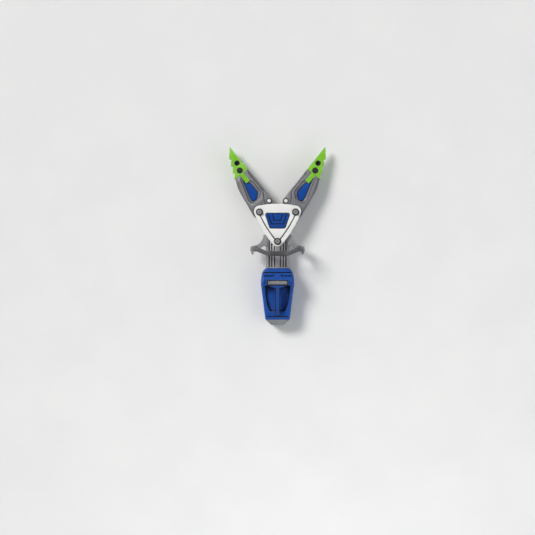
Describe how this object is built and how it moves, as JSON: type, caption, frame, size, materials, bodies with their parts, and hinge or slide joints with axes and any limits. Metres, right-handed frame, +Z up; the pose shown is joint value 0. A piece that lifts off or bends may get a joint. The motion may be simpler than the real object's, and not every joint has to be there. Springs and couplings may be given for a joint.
{
  "type": "rescue spreader",
  "caption": "Battery-powered hydraulic rescue spreader with toothed removable tips, a carry handle over its cylinder and a grip and rocker control on its housing.",
  "frame": {"origin": "on the floor, under the middle of the tool's bounding box in the stored pose", "axes": "+Y from the battery towards the tips, +Z up out of the side with the carry handle, +X to the right seen from above with the tips ahead"},
  "size_m": [0.4828, 0.8878, 0.1905],
  "materials": {
    "tip_green": "semi-gloss green paint over steel",
    "arm_grey": "forged and bead blasted",
    "insert_blue": "moulded blue panel",
    "plate_white": "white powder coat over plate",
    "badge_blue": "blue enamel over plate",
    "washer_black": "black acetal",
    "bolt_grey": "zinc plated",
    "pin_white": "pale coated steel",
    "steel": "machined",
    "chrome_rod": "hard chrome",
    "barrel_grey": "extruded, anodised grey",
    "bracket_grey": "grey powder coat",
    "handle_grey": "dark grey powder coat",
    "sleeve_grey": "ribbed rubber",
    "housing_blue": "satin moulded",
    "grip_blue": "soft grip",
    "bezel_black": "black moulding",
    "rocker_grey": "grey moulding",
    "cap_grey": "grey moulding",
    "battery_grey": "dark grey moulding",
    "board_green": "circuit board",
    "copper": "plated contact",
    "motor_steel": "blackened can"
  },
  "bodies": {
    "frame": {"yoke_plate_top": "plate_white", "yoke_plate_bottom": "plate_white", "yoke_badge_top": "badge_blue", "yoke_badge_bottom": "badge_blue", "yoke_washers": "washer_black", "yoke_tail_bolts": "bolt_grey", "pivot_nuts": "bolt_grey", "pivot_bolts": "bolt_grey", "arm_pivot_pin_left": "steel", "arm_pivot_pin_right": "steel", "cylinder_barrel": "barrel_grey", "rod_gland": "steel", "cylinder_manifold": "barrel_grey", "handle_bracket_left": "bracket_grey", "handle_bracket_right": "bracket_grey", "handle_fasteners": "bolt_grey", "carry_handle": "handle_grey", "handle_sleeve": "sleeve_grey", "housing_upper": "housing_blue", "housing_lower": "housing_blue", "housing_collar": "housing_blue", "housing_screws": "bolt_grey", "rear_grip": "grip_blue", "rocker_bezel": "bezel_black", "rocker_pin": "steel", "rocker_springs": "steel", "control_board": "board_green", "motor": "motor_steel", "pump": "barrel_grey", "reservoir": "bezel_black", "battery_bay": "bezel_black", "battery_terminals": "copper"},
    "arm_left": {"arm_left": "arm_grey", "arm_insert_left": "insert_blue", "arm_bushings_left": "washer_black", "link_pin_left": "pin_white"},
    "tip_left": {"tip_left": "tip_green", "chain_socket_left": "washer_black", "tip_lock_spring_left": "steel"},
    "tip_lock_left": {"tip_lock_left": "washer_black"},
    "link_left": {"link_left": "steel"},
    "arm_right": {"arm_right": "arm_grey", "arm_insert_right": "insert_blue", "arm_bushings_right": "washer_black", "link_pin_right": "pin_white"},
    "tip_right": {"tip_right": "tip_green", "chain_socket_right": "washer_black", "tip_lock_spring_right": "steel"},
    "tip_lock_right": {"tip_lock_right": "washer_black"},
    "link_right": {"link_right": "steel"},
    "ram": {"piston": "steel", "piston_rod": "chrome_rod", "crosshead": "steel", "crosshead_pins": "steel"},
    "control_rocker": {"control_rocker": "rocker_grey"},
    "battery": {"battery_case": "battery_grey", "battery_cells": "barrel_grey", "battery_end_cap": "cap_grey", "battery_latch_spring": "steel"},
    "battery_latch": {"battery_latch": "bezel_black"}
  },
  "joints": [
    {"name": "arm_left_swing", "type": "hinge", "parent": "frame", "child": "arm_left", "pos_m": [-0.09, 0.11861, 0.06], "axis": [0, 0, 1], "range_deg": [-38.7, 12]},
    {"name": "arm_right_swing", "type": "hinge", "parent": "frame", "child": "arm_right", "pos_m": [0.09, 0.11861, 0.06], "axis": [0, 0, -1], "range_deg": [-38.7, 12]},
    {"name": "ram_slide", "type": "slide", "parent": "frame", "child": "ram", "axis": [0, 1, 0], "range_m": [-0.0436, 0.0136]},
    {"name": "link_left_turn", "type": "hinge", "parent": "arm_left", "child": "link_left", "pos_m": [-0.04222, 0.17509, 0.06], "axis": [0, 0, 1], "range_deg": [-5.6, 17.8]},
    {"name": "link_right_turn", "type": "hinge", "parent": "arm_right", "child": "link_right", "pos_m": [0.04222, 0.17509, 0.06], "axis": [0, 0, -1], "range_deg": [-5.6, 17.8]},
    {"name": "tip_left_pull", "type": "slide", "parent": "arm_left", "child": "tip_left", "axis": [-0.6252, 0.7804, 0], "range_m": [0, 0.058]},
    {"name": "tip_lock_left_press", "type": "slide", "parent": "tip_left", "child": "tip_lock_left", "axis": [0, 0, -1], "range_m": [0, 0.003], "stiffness_N_per_m": 900, "springref_m": -0.002, "deforming": ["tip_lock_spring_left"]},
    {"name": "tip_right_pull", "type": "slide", "parent": "arm_right", "child": "tip_right", "axis": [0.6252, 0.7804, 0], "range_m": [0, 0.058]},
    {"name": "tip_lock_right_press", "type": "slide", "parent": "tip_right", "child": "tip_lock_right", "axis": [0, 0, -1], "range_m": [0, 0.003], "stiffness_N_per_m": 900, "springref_m": -0.002, "deforming": ["tip_lock_spring_right"]},
    {"name": "control_rocker_tip", "type": "hinge", "parent": "frame", "child": "control_rocker", "pos_m": [0, -0.23289, 0.1405], "axis": [0, 1, 0], "range_deg": [-4, 4], "stiffness_Nm_per_rad": 2, "deforming": ["rocker_springs"]},
    {"name": "battery_slide", "type": "slide", "parent": "frame", "child": "battery", "axis": [0, -1, 0], "range_m": [0, 0.14]},
    {"name": "battery_latch_press", "type": "slide", "parent": "battery", "child": "battery_latch", "axis": [0, 1, 0], "range_m": [0, 0.003], "stiffness_N_per_m": 900, "springref_m": -0.002, "deforming": ["battery_latch_spring"]}
  ],
  "couplings": [
    {"joint": "arm_right_swing", "follows": "arm_left_swing", "ratio": 1},
    {"joint": "ram_slide", "follows": "arm_left_swing", "m_per_rad": 0.064441},
    {"joint": "link_left_turn", "follows": "arm_left_swing", "ratio": -0.4561},
    {"joint": "link_right_turn", "follows": "arm_left_swing", "ratio": -0.4561}
  ]
}
